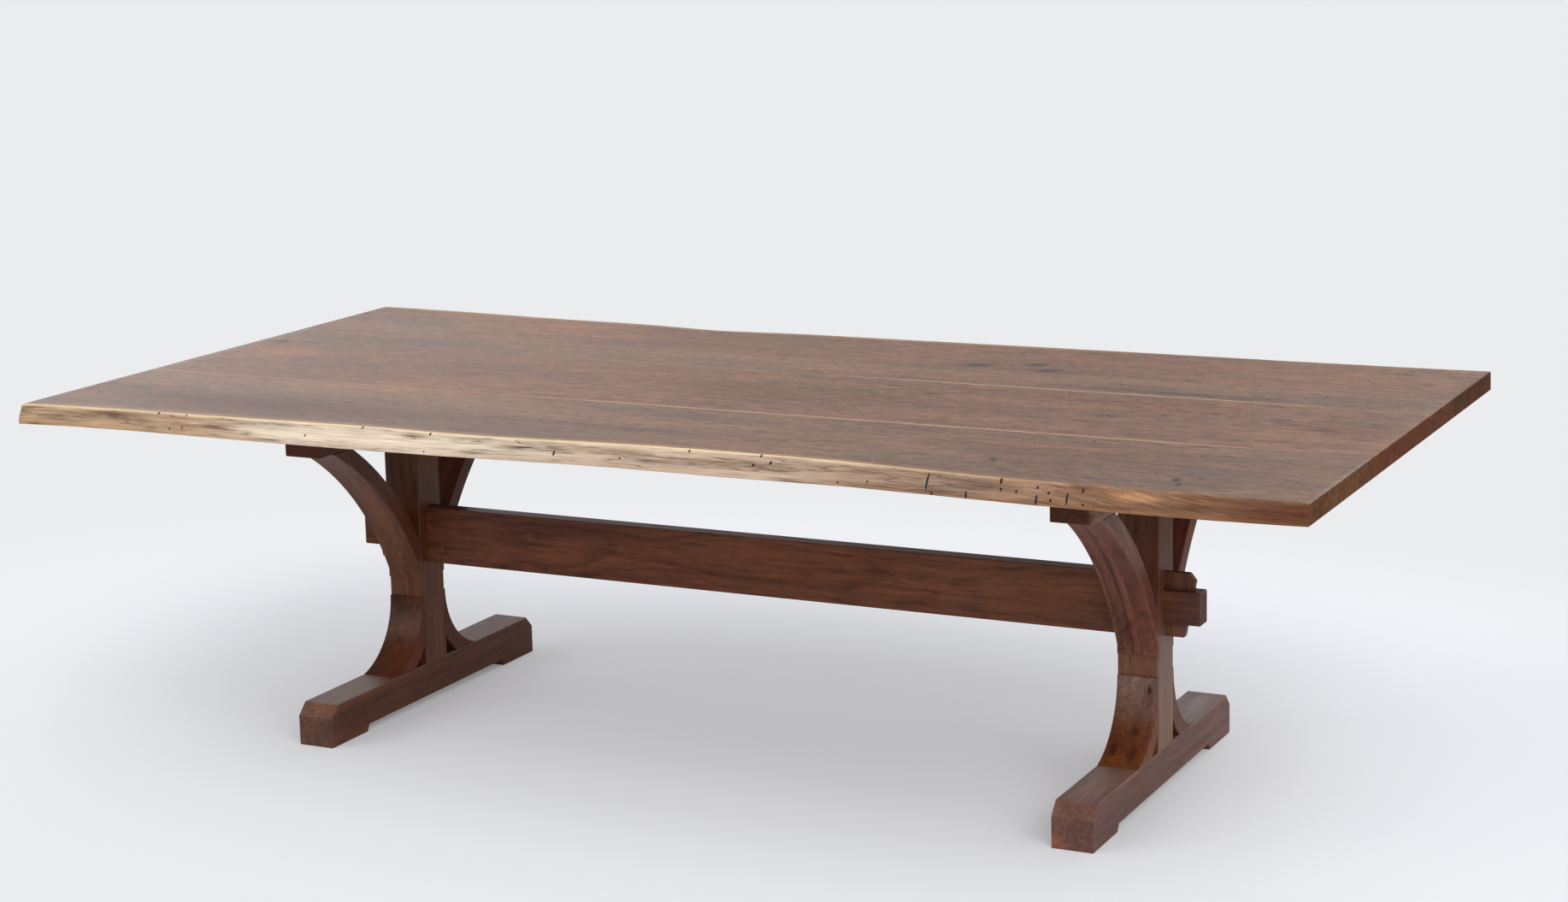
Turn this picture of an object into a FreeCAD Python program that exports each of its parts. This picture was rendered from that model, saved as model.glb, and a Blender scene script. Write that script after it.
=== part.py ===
import FreeCAD, Part
import math
import os

# A trestle dining table in solid walnut. Two trestles carry a slab of four edge-glued boards whose
# long edges are the natural edges of the tree. Each trestle is a sled foot, a post and a bearer,
# stiffened by four curved braces. A stretcher runs through both posts on through-tenons, and a
# tapered wedge outside each post draws the shoulder tight. The wedges lift out, and the stretcher
# then pulls free. The slab is bolted to the bearers through slots that let it swell and shrink.
#
# Millimetres. X runs along the table, Y across it and Z up. The origin is on the floor under the
# middle of the stretcher. The front of the table is at -Y.

# Overall sizes
table_height = 762.0
top_length = 2766.0
top_thickness = 40.0
trestle_spacing = 1726.0

# The slab: where the boards meet, as distances from the centre line, and its two natural edges.
# Each row of an edge is a station along the half length (-1 is the left end), the distance of the
# lower arris from the centre line, and how far inside it the upper arris lies.
seam_offsets = (-235.0, 194.0, 361.0)
front_edge = (
    (-1.0, 685, 16), (-0.8, 664, 17), (-0.6, 667, 27), (-0.4, 666, 39), (-0.2, 654, 24),
    (0.0, 636, 31), (0.2, 638, 41), (0.35, 633, 32), (0.5, 643, 22), (0.65, 655, 22),
    (0.8, 659, 25), (1.0, 645, 2),
)
back_edge = (
    (-1.0, 704, 14), (-0.8, 698, 18), (-0.6, 681, 20), (-0.4, 667, 18), (-0.3, 653, 21),
    (-0.2, 663, 20), (0.0, 671, 18), (0.2, 677, 18), (0.5, 683, 18), (0.8, 688, 18), (1.0, 686, 4),
)
belly = 0.3                # share of the wane that the edge has lost by mid height

# Trestle beams
beam_width = 86.0
post_depth = 86.0
foot_length = 824.0
foot_height = 89.0
foot_chamfer = 25.0
foot_pad = 131.0           # length of the flat that stands on the floor at each end
foot_relief = 15.0
relief_run = 8.0
bearer_length = 816.0
bearer_height = 90.0
ease = 1.5                 # small chamfer along the arrises of every beam
overcut = 1.0              # how far a cutting solid stands out past the faces that it cuts

# Post tenons, into the foot and the bearer
post_tenon_thickness = 30.0
post_tenon_width = 64.0
post_tenon_length = 60.0
glue_gap = 0.15
mortise_room = 1.0         # depth of the mortise beyond the tenon

# Curved braces
upper_reach = 316.0        # along the bearer, from the post to the toe of the outer curve
block_height = 43.0        # of the bare post between the lower brace and the upper one
upper_radius = 711.0
upper_thickness = 36.0
upper_nib = 17.5           # straight stretch that lies on the post below the outer curve
lower_reach = 123.0
lower_rise = 153.5
lower_thickness = 37.0
nib_thickness = 4.0

# Loose tenons that hold the braces
loose_thickness = 10.0
loose_width = 50.0
loose_depth_beam = 26.0    # into the foot or the bearer
loose_depth_post = 15.0
loose_depth_brace = 22.0   # into the end of a brace
loose_depth_flank = 12.0   # into the flat of a brace that lies on the post
loose_wall = 14.0          # of a brace, between its loose tenon on the post and the inner curve

# Stretcher
stretcher_thickness = 38.0
stretcher_height = 126.0
stretcher_level = 319.0    # underside, above the floor
tenon_height = 67.0
tenon_shoulder = 30.0      # from the underside of the stretcher to that of its tenon
tenon_length = 79.0        # that stands out of the post
tenon_bevel = 2.5
mortise_clearance = 0.3

# Wedges
wedge_thickness = 14.0
wedge_width = 59.0         # at the top of the tenon
wedge_taper = 0.19         # loss of width for each unit of height
wedge_below = 29.0         # that stands out under the tenon
wedge_above = 35.0
wedge_bevel = 15.0
wedge_clearance = 0.3
slot_draw = 6.0            # how far the slot reaches inside the face of the post

# Slab bolts
bolt_offsets = (110.0, 216.0)
bolt_radius = 4.0
bolt_head_width = 13.0     # across the flats of its hexagon
bolt_head_height = 5.5
bolt_bite = 18.0           # length of the bolt that stands in the slab
washer_radius = 11.0
washer_thickness = 2.0
insert_radius = 6.5
insert_length = 25.0
insert_room = 2.0          # depth of its hole beyond the insert
bolt_clearance = 0.15
slot_travel = 8.0          # each way, for the movement of the slab
counterbore_depth = 45.0
counterbore_clearance = 1.5

# Levels and places that follow
slab_level = table_height - top_thickness
bearer_level = slab_level - bearer_height
trestle_x = trestle_spacing / 2
post_face_y = post_depth / 2
post_out_x = trestle_x + beam_width / 2
post_in_x = trestle_x - beam_width / 2
tenon_level = stretcher_level + tenon_shoulder
tenon_top = tenon_level + tenon_height
tenon_end_x = post_out_x + tenon_length
fine = 1e-6                # lengths under this count as nothing


def point(x, y, z):
    return FreeCAD.Vector(x, y, z)


def block(x_range, y_range, z_range):
    """A box between two values on each axis."""
    low, high = zip(x_range, y_range, z_range)
    size = [b - a for a, b in zip(low, high)]
    return Part.makeBox(*size, point(*low))


def around(middle, size):
    """The two values that lie half of size on each side of middle."""
    return middle - size / 2, middle + size / 2


def prism_yz(edges, width):
    """A closed outline in the YZ plane, drawn at X = 0, made a solid of a width centred on it."""
    face = Part.Face(Part.Wire(Part.__sortEdges__(edges)))
    face.translate(point(-width / 2, 0, 0))
    return face.extrude(point(width, 0, 0))


def polygon_yz(corners):
    """Straight edges round a list of (y, z) corners."""
    points = [point(0, y, z) for y, z in corners]
    return [Part.LineSegment(a, b).toShape() for a, b in zip(points, points[1:] + points[:1])]


def eased(solid, chosen):
    """The solid with a small chamfer along each edge for which chosen(edge) holds."""
    return solid.makeChamfer(ease, [edge for edge in solid.Edges if chosen(edge)])


def on_flank(edge):
    """True for an edge that lies wholly in one of the two side planes of a beam."""
    box = edge.BoundBox
    return box.XLength < fine and abs(abs(box.XMin) - beam_width / 2) < fine


def mirrored_y(solid):
    return solid.mirror(point(0, 0, 0), point(0, 1, 0))


def joined(first, *others):
    """The shapes fused into one solid without leftover seams."""
    return first.fuse(list(others)).removeSplitter()


# ---------------------------------------------------------------- slab

def edge_stations(rows, side, drop):
    """Points along a natural edge. drop is 0 at the lower arris and 1 at the upper one."""
    half = top_length / 2
    return [point(share * half, side * (reach - drop * wane), 0) for share, reach, wane in rows]


def board_outline(front, back, drop, z):
    """The outline of a board at one height. A side is a seam offset or the rows of an edge."""
    half = top_length / 2
    sides = []
    for rim, side in ((front, -1), (back, 1)):
        if isinstance(rim, float):
            sides.append(Part.LineSegment(point(-half, rim, 0), point(half, rim, 0)).toShape())
        else:
            curve = Part.BSplineCurve()
            curve.interpolate(edge_stations(rim, side, drop))
            sides.append(curve.toShape())
    ends = [Part.LineSegment(sides[0].Vertexes[i].Point, sides[1].Vertexes[i].Point).toShape()
            for i in (0, 1)]
    outline = Part.Wire(Part.__sortEdges__([sides[0], ends[1], sides[1], ends[0]]))
    outline.translate(point(0, 0, z))
    return outline


def board(front, back):
    """A board of the slab, lofted through its outlines at the lower, middle and upper height."""
    heights = ((0, slab_level), (belly, slab_level + top_thickness / 2), (1, table_height))
    outlines = [board_outline(front, back, drop, z) for drop, z in heights]
    return Part.makeLoft(outlines, True, True).removeSplitter()


def slab_boards():
    rims = (front_edge,) + seam_offsets + (back_edge,)
    names = ("front_board", "front_middle_board", "back_middle_board", "back_board")
    holes = [Part.makeCylinder(insert_radius + bolt_clearance, insert_length + insert_room,
                               point(x, y, slab_level)) for x, y in bolt_places()]
    return {name: board(a, b).cut(holes) for name, a, b in zip(names, rims, rims[1:])}


# ---------------------------------------------------------------- trestle, drawn at X = 0

def foot():
    half = foot_length / 2
    inner = half - foot_pad
    outline = [(-half, 0), (-half, foot_height - foot_chamfer),
               (-half + foot_chamfer, foot_height), (half - foot_chamfer, foot_height),
               (half, foot_height - foot_chamfer), (half, 0), (inner, 0),
               (inner - relief_run, foot_relief), (-inner + relief_run, foot_relief), (-inner, 0)]
    body = eased(prism_yz(polygon_yz(outline), beam_width), on_flank)
    return body.cut(post_mortise(foot_height, -1))


def post_mortise(level, way):
    """The mortise for a post tenon, sunk from a level in the direction way."""
    depth = post_tenon_length + mortise_room
    return block(around(0, post_tenon_thickness + 2 * glue_gap),
                 around(0, post_tenon_width + 2 * glue_gap), sorted((level, level + way * depth)))


def bearer():
    body = block(around(0, beam_width), around(0, bearer_length), (bearer_level, slab_level))

    def low_or_upright(edge):
        return edge.BoundBox.ZMax < slab_level or edge.BoundBox.ZLength > bearer_height / 2

    body = eased(body, low_or_upright).cut(post_mortise(bearer_level, 1))
    for y in bolt_rows():
        wide = washer_radius + counterbore_clearance
        for radius, low, high in ((bolt_radius + bolt_clearance, bearer_level, slab_level),
                                  (wide, bearer_level, bearer_level + counterbore_depth)):
            body = body.cut(slotted_hole(y, radius, low, high))
    return body


def slotted_hole(y, radius, low, high):
    """A slot along Y with round ends, between two levels."""
    slot = block(around(0, 2 * radius), around(y, 2 * slot_travel), (low, high))
    ends = [Part.makeCylinder(radius, high - low, point(0, y + shift, low))
            for shift in (-slot_travel, slot_travel)]
    return joined(slot, *ends)


def post():
    body = block(around(0, beam_width), around(0, post_depth), (foot_height, bearer_level))
    body = eased(body, lambda edge: edge.BoundBox.ZLength > post_depth)
    stubs = [block(around(0, post_tenon_thickness), around(0, post_tenon_width), levels)
             for levels in ((foot_height - post_tenon_length, foot_height),
                            (bearer_level, bearer_level + post_tenon_length))]
    through = block(around(0, beam_width + 2 * overcut),
                    around(0, stretcher_thickness + 2 * mortise_clearance),
                    (tenon_level - mortise_clearance, tenon_top + mortise_clearance))
    return joined(body, *stubs).cut(through)


# ---------------------------------------------------------------- braces, drawn at X = 0 and Y < 0

def circle_centre(a, b, radius):
    """The centre of the circle through two (y, z) points that lies to the left of a to b."""
    middle = [(p + q) / 2 for p, q in zip(a, b)]
    run = [q - p for p, q in zip(a, b)]
    chord = math.hypot(*run)
    reach = math.sqrt(radius ** 2 - chord ** 2 / 4)
    return middle[0] - run[1] / chord * reach, middle[1] + run[0] / chord * reach


def at_level(centre, radius, z):
    """The (y, z) point of a circle at a level, on the side towards the post."""
    return centre[0] + math.sqrt(radius ** 2 - (z - centre[1]) ** 2), z


def at_offset(centre, radius, y, way):
    """The (y, z) point of a circle at a distance across the table, above or below its centre."""
    return y, centre[1] + way * math.sqrt(radius ** 2 - (y - centre[0]) ** 2)


def arc_yz(centre, radius, a, b):
    """The arc from a to b about a centre, through the point halfway between their directions."""
    turns = [math.atan2(z - centre[1], y - centre[0]) for y, z in (a, b)]
    turn = sum(turns) / 2
    middle = (centre[0] + radius * math.cos(turn), centre[1] + radius * math.sin(turn))
    return Part.Arc(*[point(0, y, z) for y, z in (a, middle, b)]).toShape()


def brace(centre, radius, thickness, beam_z, tip, end_z):
    """A curved brace between a beam at one level and the post, and its two loose tenons.

    Its outer and inner curves share a centre. The outer curve runs from the beam to its tip, where
    a thin nib that lies on the post goes on to end_z; the inner curve springs from the post.
    """
    way = 1 if beam_z > end_z else -1
    inner_radius = radius + thickness
    toe = at_level(centre, radius, beam_z)
    heel = at_level(centre, inner_radius, beam_z)
    spring = at_offset(centre, inner_radius, -post_face_y, way)
    corners = [tip, (tip[0], end_z), (-post_face_y, end_z), spring]
    if tip[1] == end_z:
        corners = [tip, (-post_face_y, end_z), spring]
    straight = [Part.LineSegment(point(0, *a), point(0, *b)).toShape()
                for a, b in list(zip(corners, corners[1:])) + [(heel, toe)]]
    curved = [arc_yz(centre, radius, toe, tip), arc_yz(centre, inner_radius, spring, heel)]
    inner_end = at_level(centre, radius, beam_z - way * loose_depth_brace)
    tenons = [("z", (inner_end[0] + heel[0]) / 2, beam_z,
               way * loose_depth_beam, -way * loose_depth_brace),
              ("y", spring[1] - way * (loose_wall + loose_thickness / 2), -post_face_y,
               loose_depth_post, -loose_depth_flank)]
    return eased(prism_yz(straight + curved, beam_width), on_flank), tenons


def upper_brace():
    """The brace under the bearer, and the places of its loose tenons."""
    end_z = foot_height + lower_rise + block_height
    toe = (-post_face_y - upper_reach, bearer_level)
    tip = (-post_face_y - nib_thickness, end_z + upper_nib)
    centre = circle_centre(tip, toe, upper_radius)
    return brace(centre, upper_radius, upper_thickness, bearer_level, tip, end_z)


def lower_brace():
    """The brace over the foot, and the places of its loose tenons."""
    run = lower_reach - nib_thickness
    radius = (run ** 2 + lower_rise ** 2) / (2 * run)
    end_z = foot_height + lower_rise
    tip = (-post_face_y - nib_thickness, end_z)
    centre = (tip[0] - radius, end_z)
    return brace(centre, radius, lower_thickness, foot_height, tip, end_z)


def loose_tenon(place, gap):
    """A loose tenon, or with a gap its mortise.

    Its place is the axis that it lies along, its middle across that axis, the level of the joint
    that it crosses, and how far it reaches to each side of that level.
    """
    axis, across, level, one_way, other_way = place
    low, high = sorted((level + one_way, level + other_way))
    depth = (low - 2 * gap, high + 2 * gap)
    wide = around(0, loose_width + 2 * gap)
    thick = around(across, loose_thickness + 2 * gap)
    if axis == "z":
        return block(wide, thick, depth)
    return block(wide, depth, thick)


# ---------------------------------------------------------------- stretcher and wedges

def wedge_outline(side_gap):
    """The (x, z) corners of the wedge outside the right post, grown by a gap on its two faces."""
    low = tenon_level - wedge_below
    high = tenon_top + wedge_above
    inside = post_out_x + wedge_clearance - side_gap

    def outside(z):
        return post_out_x + wedge_width - wedge_taper * (tenon_top - z) + side_gap

    return [(inside, low), (outside(low), low), (outside(high - wedge_bevel), high - wedge_bevel),
            (outside(high) - wedge_bevel, high), (inside, high)]


def prism_xz(corners, thickness):
    """A polygon of (x, z) corners made a solid of a thickness centred on Y = 0."""
    points = [point(x, -thickness / 2, z) for x, z in corners]
    return Part.Face(Part.makePolygon(points + points[:1])).extrude(point(0, thickness, 0))


def wedge():
    """The wedge of the right post."""
    solid = prism_xz(wedge_outline(0), wedge_thickness)

    def crosswise(edge):
        return edge.BoundBox.YLength > wedge_thickness / 2 and edge.BoundBox.XMin > post_out_x + ease

    return eased(solid, crosswise)


def wedge_slot():
    """The slot through the right tenon. It reaches past the post's face, so the wedge can draw."""
    inside = post_out_x - slot_draw
    low, high = tenon_level - overcut, tenon_top + overcut

    def outside(z):
        return post_out_x + wedge_width - wedge_taper * (tenon_top - z) + wedge_clearance

    return prism_xz([(inside, low), (outside(low), low), (outside(high), high), (inside, high)],
                    wedge_thickness + 2 * wedge_clearance)


def stretcher():
    body = block((-post_in_x, post_in_x), around(0, stretcher_thickness),
                 (stretcher_level, stretcher_level + stretcher_height))
    body = eased(body, lambda edge: edge.BoundBox.XLength > post_in_x)
    tenon = block((post_in_x, tenon_end_x), around(0, stretcher_thickness),
                  (tenon_level, tenon_top))
    tenon = tenon.makeChamfer(tenon_bevel, [edge for edge in tenon.Edges
                                            if edge.BoundBox.XMin > tenon_end_x - fine])
    tenon = tenon.cut(wedge_slot())
    return joined(body, tenon, tenon.mirror(point(0, 0, 0), point(1, 0, 0)))


# ---------------------------------------------------------------- slab bolts, drawn at X = 0

def bolt_rows():
    """Where the bolts of one bearer stand across the table."""
    return sorted(sign * offset for offset in bolt_offsets for sign in (-1, 1))


def bolt_places():
    """All bolts of the table as (x, y)."""
    return [(x, y) for x in (-trestle_x, trestle_x) for y in bolt_rows()]


def bolts():
    """Hexagon bolts, each with the underside of its head on a washer in its counterbore."""
    head_top = bearer_level + counterbore_depth - washer_thickness
    tip = slab_level + bolt_bite
    solids = []
    for y in bolt_rows():
        rim = [point(bolt_head_width / math.sqrt(3) * math.cos(k * math.pi / 3),
                     y + bolt_head_width / math.sqrt(3) * math.sin(k * math.pi / 3),
                     head_top - bolt_head_height) for k in range(6)]
        head = Part.Face(Part.makePolygon(rim + rim[:1])).extrude(point(0, 0, bolt_head_height))
        rod = Part.makeCylinder(bolt_radius, tip - head_top, point(0, y, head_top))
        solids.append(joined(head, rod))
    return Part.makeCompound(solids)


def rings(outer, inner, low, height):
    """One ring about each bolt of a bearer."""
    return Part.makeCompound([
        Part.makeCylinder(outer, height, point(0, y, low)).cut(
            Part.makeCylinder(inner, height, point(0, y, low)))
        for y in bolt_rows()])


def washers():
    return rings(washer_radius, bolt_radius + bolt_clearance,
                 bearer_level + counterbore_depth - washer_thickness, washer_thickness)


def inserts():
    return rings(insert_radius, bolt_radius + bolt_clearance, slab_level, insert_length)


# ---------------------------------------------------------------- the table

def trestle():
    """The pieces of one trestle, by name, at X = 0."""
    upper, upper_tenons = upper_brace()
    lower, lower_tenons = lower_brace()
    pieces = {"foot": foot(), "post": post(), "bearer": bearer()}
    touching = {"upper": ("bearer", "post"), "lower": ("foot", "post")}
    tenons = []
    for name, solid, places in (("upper", upper, upper_tenons), ("lower", lower, lower_tenons)):
        for place, beam in zip(places, touching[name]):
            mortise = loose_tenon(place, glue_gap)
            solid = solid.cut(mortise)
            pieces[beam] = pieces[beam].cut(mortise).cut(mirrored_y(mortise))
            tenons += [loose_tenon(place, 0), mirrored_y(loose_tenon(place, 0))]
        pieces["front_" + name + "_brace"] = solid
        pieces["back_" + name + "_brace"] = mirrored_y(solid)
    pieces["brace_tenons"] = Part.makeCompound(tenons)
    pieces["top_bolts"] = bolts()
    pieces["top_washers"] = washers()
    pieces["top_inserts"] = inserts()
    return pieces


def table():
    """Every node of the table, by name, in its place."""
    nodes = slab_boards()
    nodes["stretcher"] = stretcher()
    right_wedge = wedge()
    nodes["right_wedge"] = right_wedge
    nodes["left_wedge"] = right_wedge.mirror(point(0, 0, 0), point(1, 0, 0))
    for side, x in (("left", -trestle_x), ("right", trestle_x)):
        for name, shape in trestle().items():
            nodes[side + "_" + name] = shape.translated(point(x, 0, 0))
    return nodes


os.makedirs("parts", exist_ok=True)
for node, shape in table().items():
    shape.exportStep("parts/" + node + ".step")
    print(node, len(shape.Solids), "solids, valid" if shape.isValid() else "solids, NOT VALID",
          round(shape.Volume / 1000), "cm3")
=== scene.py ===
# %% [markdown]
# # A walnut trestle table and its finish
#
# The table is a slab of four glued boards with natural edges, on two trestles that are tied by a
# wedged stretcher. Its construction arrives as a fixed frame of solid pieces, all in metres, with
# +X along the table, the front at -Y and the floor at Z = 0. This lesson gives the pieces their
# looks: it models the slab's boards anew, with the lumps and marks of a natural edge, and it
# finishes every piece in procedural walnut, so that nothing depends on image files.

import bpy
import numpy as np
from mathutils import Matrix, Vector


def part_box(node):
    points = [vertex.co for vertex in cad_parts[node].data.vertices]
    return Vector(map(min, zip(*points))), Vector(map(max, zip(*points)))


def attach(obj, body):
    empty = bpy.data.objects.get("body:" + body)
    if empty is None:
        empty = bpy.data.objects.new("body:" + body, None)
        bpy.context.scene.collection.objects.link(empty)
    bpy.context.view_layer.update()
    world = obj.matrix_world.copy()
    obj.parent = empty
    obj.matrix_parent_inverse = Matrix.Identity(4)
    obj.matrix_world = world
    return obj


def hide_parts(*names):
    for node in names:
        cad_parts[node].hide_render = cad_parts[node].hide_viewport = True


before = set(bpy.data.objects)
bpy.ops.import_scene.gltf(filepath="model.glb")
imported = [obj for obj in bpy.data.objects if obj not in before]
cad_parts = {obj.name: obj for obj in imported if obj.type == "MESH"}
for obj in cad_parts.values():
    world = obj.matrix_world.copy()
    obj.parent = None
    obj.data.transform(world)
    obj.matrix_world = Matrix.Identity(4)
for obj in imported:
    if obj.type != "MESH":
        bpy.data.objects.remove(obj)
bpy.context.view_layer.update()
MM = 0.001
print("pieces in the frame:", len(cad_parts))

# %% [markdown]
# ## The camera
#
# A camera is three directions and a lens. Writing its turn as yaw, pitch and roll keeps the numbers
# readable: the view looks along the table from its right front corner, a little downwards. The
# small shift raises the optical axis in the picture, as when a strip of its top is cut off.

# %% Place the camera
IMAGE_WIDTH = 1834
FOCAL_PIXELS = 3441.7
AXIS_RAISED_PIXELS = 84.5
SENSOR_WIDTH = 36.0
CAMERA_PLACE = (2.7653, -5.3854, 1.8911)
YAW, PITCH, ROLL = 26.568, -10.396, -1.363


def add_object(name, data):
    """A new object in the scene for a camera, a lamp or a mesh."""
    added = bpy.data.objects.new(name, data)
    bpy.context.scene.collection.objects.link(added)
    return added


def camera_turn(yaw, pitch, roll):
    """A turn that starts upright, looking along +Y, then rolls, tips up and turns to the left."""
    upright = Matrix.Rotation(np.pi / 2, 4, "X")
    return (Matrix.Rotation(yaw, 4, "Z") @ Matrix.Rotation(pitch, 4, "X") @ upright
            @ Matrix.Rotation(roll, 4, "Z"))


camera_data = bpy.data.cameras.new("view_camera")
camera_data.sensor_width = SENSOR_WIDTH
camera_data.lens = FOCAL_PIXELS / IMAGE_WIDTH * SENSOR_WIDTH
camera_data.shift_y = -AXIS_RAISED_PIXELS / IMAGE_WIDTH
camera = add_object("view_camera", camera_data)
camera.matrix_world = Matrix.Translation(CAMERA_PLACE) @ camera_turn(*np.radians((YAW, PITCH, ROLL)))
bpy.context.scene.camera = camera
print("lens %.1f mm" % camera_data.lens)

# %% [markdown]
# ## Shader sums as Python sums
#
# A procedural material is a long sum. Wired by hand it is a tangle of Math nodes, so this class
# wraps a socket and lets Python's own operators add the nodes. Everything else, such as a noise or
# a mix of two colours, comes from one method that takes the node's type, settings and values.

# %% A socket that can be added and multiplied
class Socket:
    """The output of a node, for use in expressions. Each operator adds one Math node."""

    def __init__(self, graph, link):
        self.graph = graph
        self.link = link

    def maths(self, operation, *others):
        """This value put through a Math node, as the first of its numbers."""
        return self.graph.node("ShaderNodeMath", {"operation": operation},
                               dict(enumerate((self, *others))))

    def __add__(self, other):
        return self.maths("ADD", other)

    def __sub__(self, other):
        return self.maths("SUBTRACT", other)

    def __rsub__(self, other):
        return self.maths("MULTIPLY_ADD", -1.0, other)

    def __mul__(self, other):
        return self.maths("MULTIPLY", other)

    def __truediv__(self, other):
        return self.maths("DIVIDE", other)

    def __pow__(self, other):
        return self.maths("POWER", other)

    __radd__ = __add__
    __rmul__ = __mul__


# %% The nodes of one material
class Graph:
    """The node tree of one new material, or of a world."""

    def __init__(self, name, family=bpy.data.materials):
        self.made = family.new(name)
        self.made.use_nodes = True
        self.tree = self.made.node_tree
        self.tree.nodes.clear()

    def node(self, kind, settings, values, output=0):
        """Add a node, set it up, feed its sockets with values or links, and give one output."""
        added = self.tree.nodes.new(kind)
        for name, setting in settings.items():
            setattr(added, name, setting)
        for key, value in values.items():
            if isinstance(value, Socket):
                self.tree.links.new(value.link, added.inputs[key])
            else:
                added.inputs[key].default_value = value
        return Socket(self, added.outputs[output]) if len(added.outputs) else None

    def place(self):
        """Where a point lies in its piece's own space, in metres."""
        return self.node("ShaderNodeTexCoord", {}, {}, "Object")

    def attribute(self, name):
        """The number that is painted on the points of a mesh."""
        return self.node("ShaderNodeAttribute", {"attribute_name": name}, {}, "Fac")

    def axes(self, vector):
        """The x, y and z of a vector as three numbers."""
        return [self.node("ShaderNodeSeparateXYZ", {}, {0: vector}, axis) for axis in range(3)]

    def vector(self, x, y, z):
        """Three numbers as one vector."""
        return self.node("ShaderNodeCombineXYZ", {}, {0: x, 1: y, 2: z})

    def vector_maths(self, operation, first, second, output="Vector"):
        """Two vectors put through a Vector Math node, whose Value output gives a number."""
        return self.node("ShaderNodeVectorMath", {"operation": operation}, {0: first, 1: second}, output)

    def noise(self, vector, detail=2.0, roughness=0.5):
        """Smooth noise about 0.5, with features one unit wide."""
        return self.node("ShaderNodeTexNoise", {},
                         {"Vector": vector, "Scale": 1.0, "Detail": detail, "Roughness": roughness})

    def stretched_noise(self, scale, detail=2.0, roughness=0.5, shift=(0, 0, 0)):
        """Noise in the piece's own space, with so many features to a metre each way."""
        scaled = self.vector_maths("MULTIPLY", self.place(), scale)
        return self.noise(self.vector_maths("ADD", scaled, shift), detail, roughness)

    def step(self, value, start, end):
        """0 before start, 1 after end, and a smooth rise between. It falls where start > end."""
        return self.node("ShaderNodeMapRange", {"interpolation_type": "SMOOTHSTEP"},
                         {"Value": value, "From Min": start, "From Max": end})

    def ellipse(self, centre, half_sizes, turn=0.0):
        """How far out a point lies from the middle of an ellipsoid turned about Z, 1 on its rim."""
        local = self.node("ShaderNodeMapping", {"vector_type": "TEXTURE"},
                          {"Vector": self.place(), "Location": centre,
                           "Rotation": (0, 0, np.radians(turn)), "Scale": half_sizes})
        return self.vector_maths("LENGTH", local, (0, 0, 0), "Value")

    def mix(self, share, a, b, how="MIX"):
        """A colour between a and b. Inputs 6 and 7 and output 2 are the Mix node's colours."""
        colours = [value if isinstance(value, Socket) else (*value, 1.0) for value in (a, b)]
        return self.node("ShaderNodeMix", {"data_type": "RGBA", "blend_type": how},
                         {0: share, 6: colours[0], 7: colours[1]}, 2)

    def shaded(self, colour, shade):
        """A colour times a number."""
        return self.mix(1.0, colour, self.vector(shade, shade, shade), "MULTIPLY")

    def output(self, shader, kind="ShaderNodeOutputMaterial"):
        """End the tree in a shader, and give the finished material or world."""
        self.node(kind, {}, {"Surface": shader})
        return self.made

    def principled(self, **sockets):
        """Feed the shader, with underscores for the spaces in its sockets' names."""
        named = {name.replace("_", " "): value for name, value in sockets.items()}
        return self.output(self.node("ShaderNodeBsdfPrincipled", {}, named))


def rgb(red, green, blue):
    """Screen values of 0 to 255 as the linear colour that a shader works in."""
    share = np.array([red, green, blue]) / 255
    linear = np.where(share < 0.04, share / 12.92, ((share + 0.055) / 1.055) ** 2.4)
    return tuple(float(value) for value in linear)


def times(colour, factor):
    """A plain colour made lighter or darker by a factor."""
    return tuple(factor * value for value in colour)


print("walnut in linear light:", [round(value, 3) for value in rgb(120, 84, 66)])

# %% [markdown]
# ## Walnut
#
# Timber is a solid texture: a board shows whatever part of the tree its faces cut through. So the
# figure is worked out in space. The distance from the heart of the tree, bent by a slow noise and
# counted in ring widths, gives the growth rings: a flat-sawn face shows them as long flames, an
# edge as lines and an end as arcs, with no seam where the faces meet. Fibres and pores are noises
# drawn out along the grain. An image wrapped round each piece would need all of that by hand.
#
# A knot pushes the grain aside. Its neighbourhood reads the noises from nearer to the knot's own
# line than it lies, so the lines open like a lens and flow round it.

# %% Grain in a piece of walnut
KNOT_PULL = 0.85  # at a knot's middle, how much of the way to its own line is skipped
CURL_SHARE = 0.22  # of the wander that comes in short waves


def grain_ways(grain):
    """Unit directions along the grain, level across it where that can be, and through it."""
    along = Vector(grain).normalized()
    upright = abs(along.z) > 0.5
    across = Vector((1, 0, 0)) if upright else Vector((0, 0, 1)).cross(along).normalized()
    return along, across, along.cross(across)


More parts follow.
